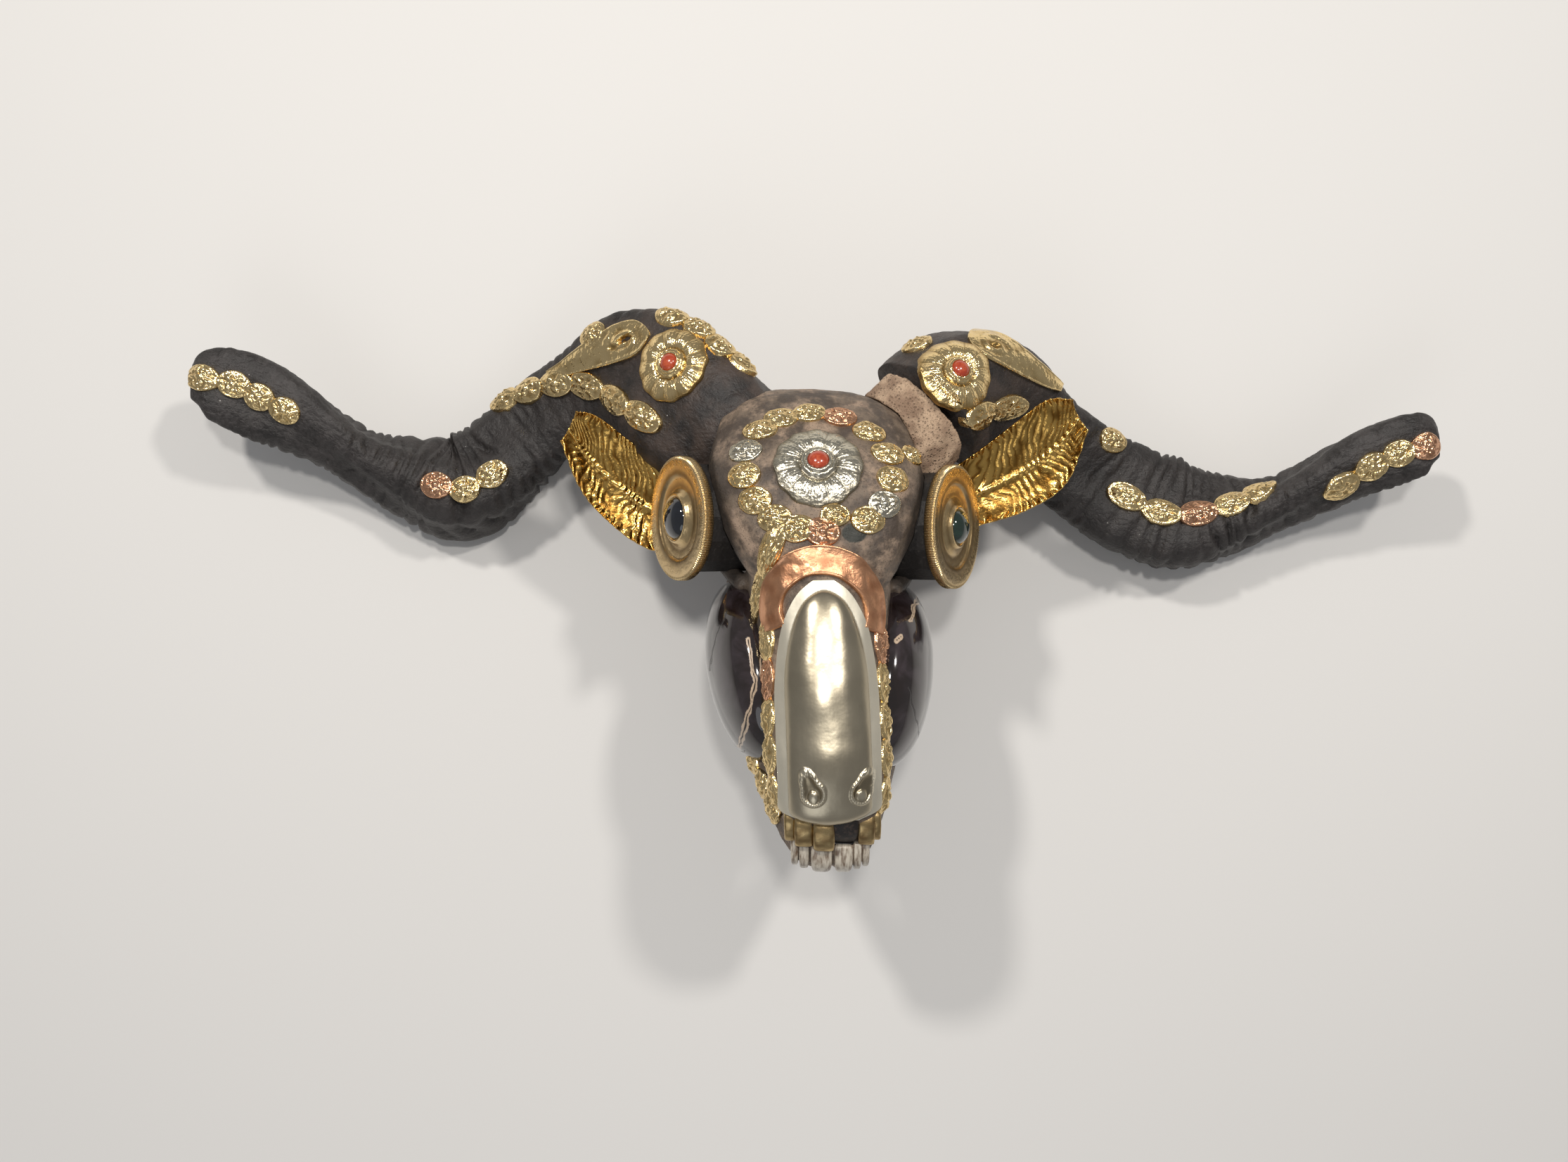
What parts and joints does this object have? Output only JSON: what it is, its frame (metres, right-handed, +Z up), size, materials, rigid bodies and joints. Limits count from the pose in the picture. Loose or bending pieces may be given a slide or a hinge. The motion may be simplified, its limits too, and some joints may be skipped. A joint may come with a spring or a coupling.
{
  "type": "ram skull",
  "caption": "Ram skull with long spreading horns, set with embossed metal medallions, rosettes, a nose plate, disc eyes, leaf ears and cheek shells, lying on its jaw and horns.",
  "frame": {"origin": "middle of the footprint's box, at the level that the lower jaw and the horns rest on", "axes": "+X to the right in the front view, from horn tip to horn tip, +Y from the muzzle to the back of the head, +Z up from the surface it lies on"},
  "size_m": [0.7864, 0.3308, 0.2072],
  "materials": {
    "bone": "dry bone, stained brown, in places pinkish tan",
    "horn": "dark ridged horn, dull with a grey bloom",
    "horn_core": "pale, pitted bone core",
    "eye_cup": "near black, dull",
    "brass": "embossed pale brass, worn",
    "eye_glass": "dark polished glass",
    "gilt_ears": "thin ribbed sheet, rich gold colour",
    "silver": "silver, warm grey, soft polish",
    "copper": "beaten copper, satin",
    "shell": "thick glossy brown-black shell with cracks",
    "coral": "polished red coral"
  },
  "bodies": {
    "root": {"brass_teeth_left": "brass", "brass_teeth_right": "brass", "cheek_shell_left": "shell", "cheek_shell_right": "shell", "ear_left": "gilt_ears", "ear_right": "gilt_ears", "eye_bead_left": "eye_glass", "eye_bead_right": "eye_glass", "eye_cup_left": "eye_cup", "eye_cup_right": "eye_cup", "eye_disc_left": "brass", "eye_disc_right": "brass", "forehead_coral": "coral", "forehead_medallion_01": "brass", "forehead_medallion_02": "copper", "forehead_medallion_03": "brass", "forehead_medallion_04": "brass", "forehead_medallion_05": "brass", "forehead_medallion_06": "silver", "forehead_medallion_07": "brass", "forehead_medallion_08": "copper", "forehead_medallion_09": "brass", "forehead_medallion_10": "brass", "forehead_medallion_11": "brass", "forehead_medallion_12": "brass", "forehead_medallion_13": "silver", "forehead_medallion_14": "brass", "forehead_medallion_15": "brass", "forehead_medallion_inner": "brass", "forehead_medallion_outer": "brass", "forehead_medallion_side": "brass", "forehead_rosette": "silver", "horn_coral_left": "coral", "horn_coral_right": "coral", "horn_core_right": "horn_core", "horn_leaf_left": "brass", "horn_leaf_right": "brass", "horn_left": "horn", "horn_right": "horn", "horn_rosette_left": "brass", "horn_rosette_right": "brass", "horn_row_left_back": "brass", "horn_row_left_dip": "brass", "horn_row_left_inner": "brass", "horn_row_left_tip": "brass", "horn_row_left_top": "brass", "horn_row_right_back": "brass", "horn_row_right_dip": "brass", "horn_row_right_edge": "brass", "horn_row_right_inner": "brass", "horn_row_right_tip": "brass", "jaw_row_left": "brass", "mandible": "bone", "muzzle_row_left": "brass", "muzzle_row_right": "brass", "nose_collar": "copper", "nose_plate": "silver", "skull": "bone"}
  },
  "joints": []
}
